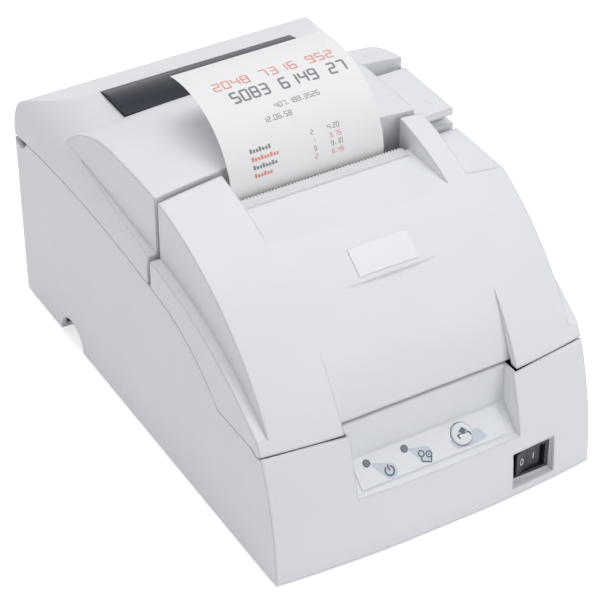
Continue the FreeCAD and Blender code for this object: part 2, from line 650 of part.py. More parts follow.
def slope_rod(name, radius, x, along, up):
    item = doc.addObject("Part::Cylinder", name)
    bind(item, "Radius", radius)
    item.Height = up[1] - up[0]
    item.Placement = FreeCAD.Placement(on_slope(x, along, up[0]), FreeCAD.Rotation(V(1, 0, 0), slope_turn))
    return item


BUTTON = (16.0, 8.0)
LENSES = ((-30.5, 11.0), (-11.7, 11.0))
panel_holes = fuse("panel_holes", slope_rod("button_hole", d.button_radius + d.fit_gap, *BUTTON, (-4, 4)),
                   *[slope_rod(f"lens_hole_{i}", 1.4, *spot, (-4, 4)) for i, spot in enumerate(LENSES)])
finished("lower_case", cut("lower_case", NODES["lower_case"], panel_holes))
finished(
    "control_panel_plate",
    cut("control_panel_plate", slope_box("panel_sheet", (-37, 37), (0.8, 14.7), (0, 0.5)), panel_holes))
finished("feed_button", slope_rod("feed_button", d.button_radius, *BUTTON, (-1.6, 1.4)))
finished("indicator_lenses", fuse("indicator_lenses", *[slope_rod(f"lens_{i}", 1.3, *spot, (-2.4, 0.6))
                                                         for i, spot in enumerate(LENSES)]))
finished("panel_board", slope_box("panel_board", (-36, 36), (1.5, 14), (-4, -2.5)))

# Power switch: a housing and a rocker that tilts about an upright pin
rocker_y = switch_face_y + 4.5
housing = cut(
    "switch_housing",
    box(
        "switch_case", (switch_x[0] + 0.3, switch_x[1] - 0.3), (switch_face_y + 0.1, switch_face_y + 12),
        (switch_z[0] + 0.3, switch_z[1] - 0.3)),
    box(
        "switch_cavity", (d.switch_x - 8.5, d.switch_x + 8.5), (switch_face_y - 1, switch_face_y + 9),
        (switch_z[0] + 1.5, switch_z[1] - 1.5)),
    rod("rocker_pin_hole", "Z", 1.08, (d.switch_x, rocker_y), (switch_z[0] + 0.5, switch_z[1] - 0.5)))
finished("power_switch_housing", housing)
rocker_line = [
    (d.switch_x - 7, rocker_y - 5.2), (d.switch_x - 7, rocker_y - 1), (d.switch_x + 7, rocker_y + 1),
    (d.switch_x + 7, rocker_y - 2.6), (d.switch_x, rocker_y - 3)]
rocker = doc.addObject("Part::Extrusion", "rocker_block")
rocker.Base = sketch("rocker_line", FreeCAD.Rotation(), rocker_line, (0, 0, switch_z[0] + 1.8))
rocker.DirMode = "Normal"
rocker.Solid = True
bind(rocker, "LengthFwd", d.switch_high - 3.6)
finished(
    "power_switch_rocker",
    fuse(
        "power_switch_rocker", rocker,
        rod("rocker_pin", "Z", 1, (d.switch_x, rocker_y), (switch_z[0] + 0.7, switch_z[1] - 0.7))))

# Main frame: base plate, side plates, cassette posts and motor brackets
frame_out = d.frame_in + d.frame_thick
base_top = d.frame_z + d.frame_thick
feed_axis = (d.feed_y, d.feed_z)
pinion_y = d.feed_y - (d.gear_teeth + d.pinion_teeth) * d.gear_module / 2 - 0.3
pinion_axis = (pinion_y, d.feed_z)
belt_z = d.shaft_z - d.belt_drop
belt_span = (d.belt_y, d.belt_y + d.belt_wide)
bracket_y = (d.belt_y - 3, d.belt_y - 1.5)
frame_solid = fuse(
    "frame_solid",
    box(
        "frame_base", (-frame_out, frame_out), (d.cassette_front_y + 1, d.frame_rear_y),
        (d.frame_z, base_top)),
    pair(
        "frame_side", (d.frame_in, frame_out), (d.frame_front_y, d.frame_rear_y),
        (d.frame_z, d.frame_top_z)),
    pair(
        "cassette_post", (d.frame_in - 3.5, d.frame_in), (d.cassette_front_y + 1, d.frame_front_y + 4),
        (d.frame_z, d.cassette_z)),
    pair("bracket", (d.pulley_x - 16, d.frame_in), bracket_y, (d.frame_z, belt_z + d.belt_radius)),
    rod("idler_stud", "Y", 1.5, (d.pulley_x, belt_z), (bracket_y[0], belt_span[1] + 0.5)))
finished(
    "main_frame",
    cut(
        "main_frame", frame_solid,
        rod(
            "shaft_holes", "X", d.shaft_radius + 0.05, (d.shaft_y, d.shaft_z),
            (-frame_out - 1, frame_out + 1)),
        rod(
            "feed_holes", "X", d.feed_shaft_radius + d.run_gap, feed_axis,
            (-frame_out - 1, frame_out + 1)),
        rod("pinion_hole", "X", 1.6, pinion_axis, (-frame_out - 1, -d.frame_in + 1)),
        rod("motor_hole", "Y", 2, (-d.pulley_x, belt_z), (bracket_y[0] - 1, bracket_y[1] + 1)),
        *[
            rod(f"frame_hole_{i}", "Z", d.screw_radius + 0.05, spot, (d.frame_z - 1, base_top + 1))
            for i, spot in enumerate(SCREWS)]))
finished(
    "frame_screws",
    fuse(
        "frame_screws",
        *[
            fuse(
                f"frame_screw_{i}",
                rod(f"screw_shank_{i}", "Z", d.screw_radius, spot, (d.frame_z - 5, base_top + 0.5)),
                rod(f"screw_head_{i}", "Z", d.screw_head, spot, (base_top, base_top + 1.6)))
            for i, spot in enumerate(SCREWS)]))

# Carriage with its print head, on a guide shaft, pulled by a belt
carriage_y = (d.shaft_y - 6, d.shaft_y + 8)
finished(
    "guide_shaft",
    rod("guide_shaft", "X", d.shaft_radius, (d.shaft_y, d.shaft_z), (-frame_out, frame_out)))
belt_top = belt_z + d.belt_radius
carriage = fuse(
    "carriage_block",
    box("carriage_body", (-d.carriage_half, d.carriage_half), carriage_y, (belt_top + 1, d.shaft_z + 7)),
    box("carriage_clip", (-5, 5), belt_span, (belt_top + 0.1, belt_top + 1)))
finished(
    "print_carriage",
    cut(
        "print_carriage", carriage,
        rod("carriage_bore", "X", d.shaft_radius + d.run_gap, (d.shaft_y, d.shaft_z), wide)))
head_z = d.shaft_z + 7
finished(
    "print_head",
    fuse(
        "print_head", box("head_block", (-16, 16), (d.shaft_y - 4, d.feed_y + 2), (head_z, head_z + 22)),
        box("head_nose", (-6, 6), (d.feed_y + 2, d.feed_y + 4.5), (head_z + 12, head_z + 20))))


def loop(name, radius, y):
    """A belt-shaped solid round both pulleys."""
    centre = (d.pulley_x, belt_z)
    return fuse(
        name, box(name + "_run", (-d.pulley_x, d.pulley_x), y, (belt_z - radius, belt_z + radius)),
        rod(name + "_right", "Y", radius, centre, y),
        rod(name + "_left", "Y", radius, (-d.pulley_x, belt_z), y))


belt_inner = d.belt_radius - d.belt_thick
finished("drive_belt", cut("drive_belt", loop("belt_outside", d.belt_radius, belt_span),
                           loop("belt_inside", belt_inner, (belt_span[0] - 1, belt_span[1] + 1))))
pulley_y = (belt_span[0] - 0.4, belt_span[1] + 0.4)
finished(
    "motor_pulley",
    fuse(
        "motor_pulley", rod("motor_pulley_drum", "Y", belt_inner - 0.1, (-d.pulley_x, belt_z), pulley_y),
        rod("motor_pulley_shaft", "Y", 1.5, (-d.pulley_x, belt_z), (bracket_y[0] - 0.9, pulley_y[1]))))
finished(
    "idler_pulley",
    cut(
        "idler_pulley", rod("idler_drum", "Y", belt_inner - 0.1, (d.pulley_x, belt_z), pulley_y),
        rod("idler_bore", "Y", 1.58, (d.pulley_x, belt_z), (-far, far))))
finished(
    "carriage_motor",
    cut(
        "carriage_motor",
        rod(
            "carriage_motor_can", "Y", d.motor_radius, (-d.pulley_x, belt_z),
            (bracket_y[0] - d.motor_long, bracket_y[0])),
        rod(
            "carriage_motor_bore", "Y", 1.58, (-d.pulley_x, belt_z),
            (bracket_y[0] - 2, bracket_y[0] + 1))))

# Ribbon cassette, band and knob
cassette_top = d.cassette_z + d.cassette_high
nose_z = (head_z + 12, head_z + 20)
ribbon_x = (d.cassette_half - 8, d.cassette_half - 4)
finished(
    "ribbon_cassette",
    cut(
        "ribbon_cassette",
        fuse(
            "cassette_block",
            box(
                "cassette_box", (-d.cassette_half, d.cassette_half),
                (d.cassette_front_y, d.cassette_rear_y), (d.cassette_z, cassette_top)),
            pair("cassette_arm", ribbon_x, (d.cassette_rear_y - 1, d.feed_y + 4.4), nose_z)),
        rod(
            "knob_bore", "Z", 2.08, (d.knob_x, d.cassette_front_y + 11),
            (cassette_top - 4, cassette_top + 1))))
finished(
    "ribbon_band",
    box("ribbon_band", (-ribbon_x[1], ribbon_x[1]), (d.feed_y + 4.8, d.feed_y + 5.1), nose_z))
finished(
    "ribbon_knob",
    fuse(
        "ribbon_knob",
        rod(
            "knob_cap", "Z", d.knob_radius, (d.knob_x, d.cassette_front_y + 11),
            (cassette_top + 0.3, cassette_top + 4)),
        rod(
            "knob_stem", "Z", 2, (d.knob_x, d.cassette_front_y + 11),
            (cassette_top - 3.6, cassette_top + 1))))
finished(
    "platen",
    box(
        "platen", (-d.frame_in, d.frame_in), (d.paper_y + 0.5, d.paper_y + 2.6),
        (d.platen_z, d.platen_z + d.platen_high)))

# Paper feed: shaft, rubber roller, gear, pinion and motor
gear_left = -frame_out - 1.5 - d.gear_wide
gear_x = (gear_left, gear_left + d.gear_wide)


def toothed(name, teeth, axis, turn):
    """A gear along X: a root disc and straight teeth round it."""
    pitch = teeth * d.gear_module / 2
    parts = [rod(name + "_disc", "X", pitch - d.gear_module * 0.9, axis, gear_x)]
    count = int(teeth.value)
    for index in range(count):
        tooth = doc.addObject("Part::Box", f"{name}_tooth_{index}")
        bind(tooth, "Length", d.gear_wide)
        bind(tooth, "Width", d.gear_module * 0.9)
        bind(tooth, "Height", pitch + d.gear_module * 0.5)
        angle = 360 * (index + turn) / count
        spin = FreeCAD.Rotation(V(1, 0, 0), angle)
        corner = V(
            gear_left.value, axis[0].value, axis[1].value
        ) + spin.multVec(V(0, -d.gear_module.value * 0.45, 0))
        tooth.Placement = FreeCAD.Placement(corner, spin)
        parts.append(tooth)
    return fuse(name, *parts)


finished(
    "feed_shaft",
    rod("feed_shaft", "X", d.feed_shaft_radius, feed_axis, (gear_left - 0.5, frame_out + 1.5)))
finished(
    "feed_roller",
    cut(
        "feed_roller", rod("feed_rubber", "X", d.feed_radius, feed_axis, (-d.feed_half, d.feed_half)),
        rod("feed_rubber_bore", "X", d.feed_shaft_radius + 0.04, feed_axis, wide)))
finished("feed_gear", cut("feed_gear", toothed("feed_teeth", d.gear_teeth, feed_axis, 0),
                          rod("feed_gear_bore", "X", d.feed_shaft_radius + 0.04, feed_axis, (-half, 0))))
finished("feed_pinion", fuse("feed_pinion", toothed("pinion_wheel", d.pinion_teeth, pinion_axis, 0.5),
                             rod("pinion_shaft", "X", 1.2, pinion_axis, (gear_left, 0.8 - d.frame_in))))
finished(
    "feed_motor",
    cut(
        "feed_motor",
        rod(
            "feed_motor_can", "X", d.feed_motor_radius, pinion_axis,
            (-d.frame_in, d.feed_motor_long - d.frame_in)),
        rod("feed_motor_bore", "X", 1.28, pinion_axis, (-d.frame_in - 1, 2 - d.frame_in))))

# Paper: bin, roll, core and the slip in the exit
bin_x = (d.paper_x - d.paper_width / 2 - 1.2, d.paper_x + d.paper_width / 2 + 1.2)
bin_axis = (d.roll_y, d.bin_z)
bin_out = (bin_x[0] - d.wall, bin_x[1] + d.wall)
bin_solid = fuse(
    "bin_solid", rod("bin_drum", "X", d.bin_radius + 2, bin_axis, bin_out),
    box("bin_leg_left", (bin_out[0], bin_x[0]), (d.roll_y - 30, d.roll_y + 30), (floor_z, d.bin_z - 20)),
    box("bin_leg_right", (bin_x[1], bin_out[1]), (d.roll_y - 30, d.roll_y + 30), (floor_z, d.bin_z - 20)))
finished("paper_bin", cut("paper_bin", bin_solid, rod("bin_hollow", "X", d.bin_radius, bin_axis, bin_x),
                          box("bin_open", wide, (-far, far), (d.bin_z + 2, tall))))
roll_axis = (d.roll_y, d.bin_z - (d.bin_radius - d.roll_radius) + d.fit_gap)
roll_x = (d.paper_x - d.paper_width / 2, d.paper_x + d.paper_width / 2)
finished("paper_roll", cut("paper_roll", rod("roll_body", "X", d.roll_radius, roll_axis, roll_x),
                           rod("roll_bore", "X", d.core_radius + 0.04, roll_axis, wide)))
finished("paper_core", cut("paper_core", rod("core_body", "X", d.core_radius, roll_axis, roll_x),
                           rod("core_bore", "X", d.core_radius - d.core_wall, roll_axis, wide)))


def slip_face():
    """The slip's side: up out of the exit, over a tight curl and then a wider one."""
    thick = d.paper_thick.value
    first = V(0, d.paper_y.value + d.paper_arc.value, d.paper_bend_z.value)

    def spot(centre, radius, degrees):
        return centre + V(
            0, -radius * math.cos(math.radians(degrees)), radius * math.sin(math.radians(degrees)))

    turn, last = d.paper_turn.value, d.paper_turn.value + d.paper_end_turn.value
    bend = spot(first, d.paper_arc.value, turn)
    second = bend + (first - bend) * (d.paper_top_arc.value / d.paper_arc.value)
    arcs = [(first, d.paper_arc.value, 0, turn), (second, d.paper_top_arc.value, turn, last)]

    def arc(centre, radius, start, end):
        middle = (start + end) / 2
        return Part.Arc(*[spot(centre, radius, degrees) for degrees in (start, middle, end)]).toShape()

    outer = [arc(centre, radius, start, end) for centre, radius, start, end in arcs]
    inner = [arc(centre, radius - thick, start, end) for centre, radius, start, end in arcs]
    low = V(0, d.paper_y.value, d.feed_z.value - 6)
    ends = [
        (low, spot(first, arcs[0][1], 0)), (low + V(0, thick, 0), spot(first, arcs[0][1] - thick, 0)),
        (low, low + V(0, thick, 0)),
        (spot(second, arcs[1][1], last), spot(second, arcs[1][1] - thick, last))]
    lines = [Part.LineSegment(*pair_of).toShape() for pair_of in ends]
    return Part.Face(Part.Wire(Part.__sortEdges__(outer + inner + lines)))


slip = doc.addObject("Part::Feature", "paper_slip")
slip.Shape = slip_face().extrude(V(d.paper_width.value, 0, 0))
slip.Placement = FreeCAD.Placement(V(roll_x[0].value, 0, 0), FreeCAD.Rotation())
finished("paper_slip", slip)

# Main board, its parts and the connectors in the rear plate
board_top = d.board_z + d.board_thick
finished(
    "main_board",
    box(
        "main_board", (-d.board_half, d.board_half), (board_front_y, d.board_rear_y),
        (d.board_z, board_top)))
finished(
    "board_components",
    fuse(
        "board_components",
        *[
            rod(f"capacitor_{i}", "Z", 5, (x, board_front_y + 12), (board_top, board_top + 14))
            for i, x in enumerate((-24, -12))],
        box(
            "controller_chip", (0, 20), (board_front_y + 32, board_front_y + 52),
            (board_top, board_top + 2.4)),
        box(
            "memory_chip", (-22, -8), (board_front_y + 38, board_front_y + 48),
            (board_top, board_top + 2)),
        box("power_chip", (4, 20), (board_front_y + 6, board_front_y + 16), (board_top, board_top + 8))))
CONNECTORS = {
    "power_inlet": ((-32, -18), 14), "drawer_jack": ((-14, 1), 14), "interface_connector": ((5, 33), 12)}
plate_y = (inner_rear + 0.4, inner_rear + 1.8)
plate = box("plate_sheet", (d.fit_gap - d.plate_half, d.plate_half - d.fit_gap), plate_y,
            (d.plate_low_z + d.fit_gap, d.plate_high_z - d.fit_gap))
openings = []
for name, (x, high) in CONNECTORS.items():
    finished(
        name,
        cut(
            name,
            box(name + "_block", x, (d.board_rear_y - 14, rear_y - 0.4), (board_top, board_top + high)),
            box(
                name + "_socket", (x[0] + 2, x[1] - 2), (rear_y - 9, rear_y + 1),
                (board_top + 2.5, board_top + high - 2.5))))
    openings.append(
        box(
            name + "_window", (x[0] - 0.3, x[1] + 0.3), (inner_rear - 2, rear_y + 2),
            (board_top - 0.3, board_top + high + 0.3)))
finished("interface_plate", cut("interface_plate", plate, *openings))

# Checks and files
def main():
    doc.recompute()
    for item in doc.Objects:
        bad = [state for state in item.State if state in ("Invalid", "Error")]
        if bad:
            raise RuntimeError(f"{item.Name}: {item.State}")
    os.makedirs("parts", exist_ok=True)
    for name, item in NODES.items():
        if item.Shape.isNull() or not item.Shape.isValid():
            raise RuntimeError(f"{name}: bad shape")
        print(name, len(item.Shape.Solids), round(item.Shape.Volume))
    for name, item in NODES.items():
        item.Shape.exportStep(f"parts/{name}.step")


main()
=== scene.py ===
import math

import bpy
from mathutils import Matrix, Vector


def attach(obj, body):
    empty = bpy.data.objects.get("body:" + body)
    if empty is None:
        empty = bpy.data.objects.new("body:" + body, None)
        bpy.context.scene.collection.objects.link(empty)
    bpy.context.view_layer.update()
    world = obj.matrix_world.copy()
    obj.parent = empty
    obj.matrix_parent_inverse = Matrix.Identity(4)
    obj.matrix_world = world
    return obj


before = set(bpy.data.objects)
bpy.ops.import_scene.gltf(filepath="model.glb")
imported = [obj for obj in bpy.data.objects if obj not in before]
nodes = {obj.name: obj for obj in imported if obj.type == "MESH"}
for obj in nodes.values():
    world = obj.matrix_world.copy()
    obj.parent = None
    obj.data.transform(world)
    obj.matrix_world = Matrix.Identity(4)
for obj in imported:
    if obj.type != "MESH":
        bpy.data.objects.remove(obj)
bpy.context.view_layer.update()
MM = 0.001
DRIFT_SCALE = 35.0
DRIFT_DETAIL = 3.0
DRIFT_BAND = (0.3, 0.7)
EDGE_SAMPLES = 6
GRAIN_DEPTH = 0.1


# Materials: every one is made of procedural nodes
def shade(colour, amount):
    return tuple(min(1.0, channel * amount) for channel in colour) + (1.0,)


def material(name, colour, rough=0.5, grain=900.0, bump=0.0, spread=0.03, metal=0.0, edge=0.0, glow=0.0):
    """A surface whose colour drifts a little, with a fine grain and softly rounded edges."""
    made = bpy.data.materials.new(name)
    made.use_nodes = True
    tree = made.node_tree
    surface = tree.nodes["Principled BSDF"]
    place = tree.nodes.new("ShaderNodeTexCoord")
    drift = tree.nodes.new("ShaderNodeTexNoise")
    drift.inputs["Scale"].default_value = DRIFT_SCALE
    drift.inputs["Detail"].default_value = DRIFT_DETAIL
    ramp = tree.nodes.new("ShaderNodeValToRGB")
    for stop, position, amount in zip(ramp.color_ramp.elements, DRIFT_BAND, (1.0 - spread, 1.0 + spread)):
        stop.position = position
        stop.color = shade(colour, amount)
    tree.links.new(place.outputs["Object"], drift.inputs["Vector"])
    tree.links.new(drift.outputs["Fac"], ramp.inputs["Fac"])
    tree.links.new(ramp.outputs["Color"], surface.inputs["Base Color"])
    surface.inputs["Roughness"].default_value = rough
    surface.inputs["Metallic"].default_value = metal
    if glow:
        tree.links.new(ramp.outputs["Color"], surface.inputs["Emission Color"])
        surface.inputs["Emission Strength"].default_value = glow
    normal = None
    if edge:
        rounding = tree.nodes.new("ShaderNodeBevel")
        rounding.samples = EDGE_SAMPLES
        rounding.inputs["Radius"].default_value = edge * MM
        normal = rounding.outputs["Normal"]
    if bump:
        fine = tree.nodes.new("ShaderNodeTexNoise")
        fine.inputs["Scale"].default_value = grain
        relief = tree.nodes.new("ShaderNodeBump")
        relief.inputs["Strength"].default_value = bump
        relief.inputs["Distance"].default_value = GRAIN_DEPTH * MM
        tree.links.new(place.outputs["Object"], fine.inputs["Vector"])
        tree.links.new(fine.outputs["Fac"], relief.inputs["Height"])
        if normal:
            tree.links.new(normal, relief.inputs["Normal"])
        normal = relief.outputs["Normal"]
    if normal:
        tree.links.new(normal, surface.inputs["Normal"])
    return made


CASE = material(
    "case_plastic", (0.80, 0.815, 0.84), rough=0.48, grain=1400.0, bump=0.10, spread=0.012, edge=1.6)
PANEL = material(
    "panel_plastic", (0.80, 0.815, 0.84), rough=0.42, grain=1600.0, bump=0.05, spread=0.01, edge=0.5)
BADGE = material(
    "badge_sheet", (0.87, 0.88, 0.90), rough=0.35, grain=900.0, bump=0.02, spread=0.008, edge=0.3)
BLOB = material("panel_tint", (0.60, 0.65, 0.73), rough=0.5, grain=900.0, bump=0.02, spread=0.02)
INK = material("panel_ink", (0.11, 0.13, 0.17), rough=0.5, grain=900.0, bump=0.02, spread=0.05)
DARK = material(
    "dark_plastic", (0.028, 0.034, 0.045), rough=0.4, grain=1200.0, bump=0.08, spread=0.05, edge=0.4)
MARK = material("switch_mark", (0.82, 0.83, 0.84), rough=0.5, grain=900.0, bump=0.02, spread=0.02)
RUBBER = material(
    "rubber", (0.03, 0.03, 0.032), rough=0.8, grain=1500.0, bump=0.2, spread=0.08, edge=0.4)
STEEL = material(
    "steel", (0.58, 0.59, 0.61), rough=0.32, grain=700.0, bump=0.06, spread=0.04, metal=1.0, edge=0.2)
FRAME_STEEL = material(
    "frame_steel", (0.42, 0.44, 0.46), rough=0.42, grain=500.0, bump=0.08, spread=0.06, metal=0.9, edge=0.3)
TEAR = material(
    "tear_edge", (0.74, 0.75, 0.77), rough=0.35, grain=900.0, bump=0.03, spread=0.03, metal=0.2)
WINDOW = material(
    "window_tint", (0.014, 0.018, 0.034), rough=0.3, grain=900.0, bump=0.0, spread=0.04, edge=1.0)
WINDOW.node_tree.nodes["Principled BSDF"].inputs["Specular IOR Level"].default_value = 0.25
LENS = material("lens", (0.20, 0.22, 0.25), rough=0.25, grain=900.0, bump=0.0, spread=0.05)
BOARD = material("board", (0.03, 0.13, 0.06), rough=0.45, grain=300.0, bump=0.1, spread=0.2)
PAPER = material("paper", (0.90, 0.895, 0.90), rough=0.85, grain=1800.0, bump=0.08, spread=0.012)
CARD = material("core_card", (0.40, 0.31, 0.21), rough=0.9, grain=900.0, bump=0.15, spread=0.08)
RIBBON = material("ribbon_ink", (0.02, 0.018, 0.03), rough=0.7, grain=2500.0, bump=0.3, spread=0.15)
PRINT_DARK = material("print_grey", (0.26, 0.27, 0.30), rough=0.8, grain=1500.0, bump=0.05, spread=0.12)
PRINT_RED = material("print_red", (0.80, 0.30, 0.22), rough=0.8, grain=1500.0, bump=0.05, spread=0.12)
SOCKET = material(
    "socket_plastic", (0.05, 0.05, 0.055), rough=0.5, grain=900.0, bump=0.08, spread=0.06, edge=0.3)

LOOKS = {
    CASE: ("lower_case", "printer_cover", "roll_paper_cover", "cover_open_lever", "feed_button"),
    PANEL: ("control_panel_plate",),
    BADGE: ("badge_plate",),
    WINDOW: ("paper_window",),
    LENS: ("indicator_lenses",),
    RUBBER: ("rubber_feet", "feed_roller", "pressure_roller", "drive_belt"),
    STEEL: (
        "cover_hinge_pins", "lid_hinge_pins", "lever_pin", "frame_screws", "guide_shaft", "feed_shaft",
        "platen"),
    FRAME_STEEL: ("main_frame", "carriage_motor", "feed_motor", "interface_plate"),
    TEAR: ("tear_bar",),
    BOARD: ("panel_board", "main_board"),
    PAPER: ("paper_roll", "paper_slip"),
    CARD: ("paper_core",),
    RIBBON: ("ribbon_band",),
    SOCKET: ("power_inlet", "drawer_jack", "interface_connector", "board_components"),
    DARK: (
        "power_switch_housing", "power_switch_rocker", "print_carriage", "print_head", "motor_pulley",
        "idler_pulley", "ribbon_cassette", "ribbon_knob", "feed_gear", "feed_pinion", "paper_bin"),
}
for look, names in LOOKS.items():
    for name in names:
        node = nodes[name]
        node.data.materials.clear()
        node.data.materials.append(look)


# Pieces
def piece(name, corners, faces, look, body):
    """A mesh from points in millimetres that moves with a body."""
    mesh = bpy.data.meshes.new(name)
    mesh.from_pydata([tuple(value * MM for value in corner) for corner in corners], [], faces)
    mesh.update()
    made = bpy.data.objects.new(name, mesh)
    bpy.context.scene.collection.objects.link(made)
    made.data.materials.append(look)
    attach(made, body)
    return made


class Flat:
    """Flat figures gathered in (u, v), to be laid on a surface later."""

    def __init__(self):
        self.points = []
        self.faces = []

    def polygon(self, points):
        start = len(self.points)
        self.points += points
        self.faces.append(list(range(start, start + len(points))))

    def bar(self, u, v, wide, high):
        self.polygon([(u, v), (u + wide, v), (u + wide, v + high), (u, v + high)])

    def ring(self, u, v, inner, outer, first=0.0, last=360.0, steps=28, tall=1.0):
        spots = []
        for radius in (inner, outer):
            for step in range(steps + 1):
                angle = math.radians(first + (last - first) * step / steps)
                spots.append((u + radius * math.cos(angle), v + tall * radius * math.sin(angle)))
        start = len(self.points)
        self.points += spots
        for step in range(steps):
            across = start + steps + 1 + step
            self.faces.append([start + step, across, across + 1, start + step + 1])

    def disc(self, u, v, radius, steps=32, tall=1.0):
        angles = [2 * math.pi * step / steps for step in range(steps)]
        self.polygon([
            (u + radius * math.cos(angle), v + tall * radius * math.sin(angle)) for angle in angles])

    def stroke(self, points, thick):
        """A line of even thickness through points."""
        for (u0, v0), (u1, v1) in zip(points, points[1:]):
            length = math.hypot(u1 - u0, v1 - v0)
            across = ((v0 - v1) / length * thick / 2, (u1 - u0) / length * thick / 2)
            self.polygon([(u0 - across[0], v0 - across[1]), (u1 - across[0], v1 - across[1]),
                          (u1 + across[0], v1 + across[1]), (u0 + across[0], v0 + across[1])])

    def laid(self, name, lay, look, body):
        return piece(name, [lay(u, v) for u, v in self.points], self.faces, look, body)


# Figures on the control panel
SLOPE_FOOT = Vector((0.0, -118.2, 33.6))
SLOPE = math.atan2(10.2, 11.7)
ALONG = Vector((0.0, math.cos(SLOPE), math.sin(SLOPE)))
RISE = Vector((0.0, -math.sin(SLOPE), math.cos(SLOPE)))
PANEL_TOP = 0.5
TINT_LIFT = 0.04
ICON_LIFT = 0.07
MARK_LIFT = 0.04
PRINT_LIFT = 0.05
BUTTON_TOP = 1.4
BUTTON = (16.0, 8.0)
INDICATORS = ((-30.5, 11.0), (-11.7, 11.0))
POWER_ICON = (-21.8, 4.6)
PAPER_ICON = (-3.8, 5.8)


def on_panel(lift):
    return lambda u, v: tuple(SLOPE_FOOT + Vector((u, 0, 0)) + ALONG * v + RISE * lift)


def comet(figure, start, end, narrow, wide):
    """A patch that widens from one spot to another and ends round."""
    run = math.atan2(end[1] - start[1], end[0] - start[0])
    outline = []
    for step in range(17):
        angle = run - math.pi / 2 + math.pi * step / 16
        outline.append((end[0] + wide * math.cos(angle), end[1] + wide * math.sin(angle)))
    for side in (1, -1):
        outline.append((start[0] - side * narrow * math.sin(run), start[1] + side * narrow * math.cos(run)))
    figure.polygon(outline)


tint = Flat()
for indicator, icon_spot in zip(INDICATORS, (POWER_ICON, PAPER_ICON)):
    comet(tint, (indicator[0] + 1.6, indicator[1] - 0.8), icon_spot, 0.3, 3.6)
FEED_PATCH = (
    (-6.6, -1.0), (-5.8, -3.8), (-4.2, -5.6), (2.0, -6.2), (9.6, -5.4), (10.8, -4.4), (9.4, -1.2), (7.4, 0.0))
BUTTON_CLEAR = 5.4
button_edge = [
    (BUTTON_CLEAR * math.cos(math.radians(angle)), BUTTON_CLEAR * math.sin(math.radians(angle)))
    for angle in range(0, -180, -10)]
tint.polygon([(BUTTON[0] + u, BUTTON[1] + v) for u, v in (*FEED_PATCH, *button_edge)])
tint.laid("panel_tint_patches", on_panel(PANEL_TOP + TINT_LIFT), BLOB, "base")

icons = Flat()
icons.ring(*POWER_ICON, 1.7, 2.45, 115.0, 425.0)
icons.bar(POWER_ICON[0] - 0.36, POWER_ICON[1], 0.72, 2.8)
ROLL_ENDS = ((PAPER_ICON[0] - 1.4, PAPER_ICON[1] + 0.6), (PAPER_ICON[0] + 1.9, PAPER_ICON[1] - 0.7))
for roll_end in ROLL_ENDS:
    icons.ring(*roll_end, 1.0, 1.6)
icons.disc(*ROLL_ENDS[1], 0.4)
SHEET_EDGE = ((-1.9, -0.9), (-2.4, -2.6), (1.6, -4.2), (2.6, -2.1))
icons.stroke([(PAPER_ICON[0] + u, PAPER_ICON[1] + v) for u, v in SHEET_EDGE], 0.6)
for indicator in INDICATORS:
    icons.ring(*indicator, 1.4, 1.75)
icons.laid("panel_icons", on_panel(PANEL_TOP + ICON_LIFT), INK, "base")

ARROW = ((0.8, 2.8), (-1.9, 0.9), (-0.7, 0.8), (-0.5, -0.3), (1.7, -0.5), (1.6, 0.6), (2.8, 0.5))
SHEET_LEGS = (((-0.9, 0.1), (-2.5, -0.2), (-1.8, -1.9)), ((2.0, 0.0), (3.2, -0.2), (3.8, -1.9)))
feed_icon = Flat()
feed_icon.polygon([(BUTTON[0] + u, BUTTON[1] + v) for u, v in ARROW])
for leg in SHEET_LEGS:
    feed_icon.stroke([(BUTTON[0] + u, BUTTON[1] + v) for u, v in leg], 0.7)
feed_icon.laid("feed_button_icon", on_panel(BUTTON_TOP + MARK_LIFT), INK, "button")

# Marks on the rocker
ROCKER_X = 48.5
ROCKER_Y = -114.3
ROCKER_Z = 14.9


def on_rocker(start, end):
    run = Vector((end[0] - start[0], end[1] - start[1], 0.0)).normalized()
    out = Vector((run.y, -run.x, 0.0)) * MARK_LIFT
    corner = Vector((ROCKER_X + start[0], ROCKER_Y + start[1], ROCKER_Z))
    return lambda u, v: tuple(corner + Vector((0.0, 0.0, v)) + run * u + out)


off_mark = Flat()
off_mark.ring(3.6, 0.0, 0.8, 1.2, tall=1.5)
off_mark.laid("rocker_off_mark", on_rocker((-7.0, -5.2), (0.0, -3.0)), MARK, "rocker")
on_mark = Flat()
on_mark.bar(3.2, -1.7, 0.45, 3.4)
on_mark.laid("rocker_on_mark", on_rocker((0.0, -3.0), (7.0, -2.6)), MARK, "rocker")

# Embossed tick on the lever, drawn as a flat blue-grey stroke: painted shade in place of its relief
LEVER_TOP = 130.7
lever_tick_shade = Flat()
lever_tick_shade.stroke([(65.9, -0.3), (67.1, -4.9)], 0.5)
lever_tick_shade.laid("lever_tick_shade", lambda u, v: (u, v, LEVER_TOP + MARK_LIFT), BLOB, "lever")

# Print on the paper slip
SLIP_Y = -17.65
SLIP_LOW_Z = 90.0
BEND_Z = 123.0
ARCS = ((34.2, math.radians(64.9)), (51.7, math.radians(38.5)))


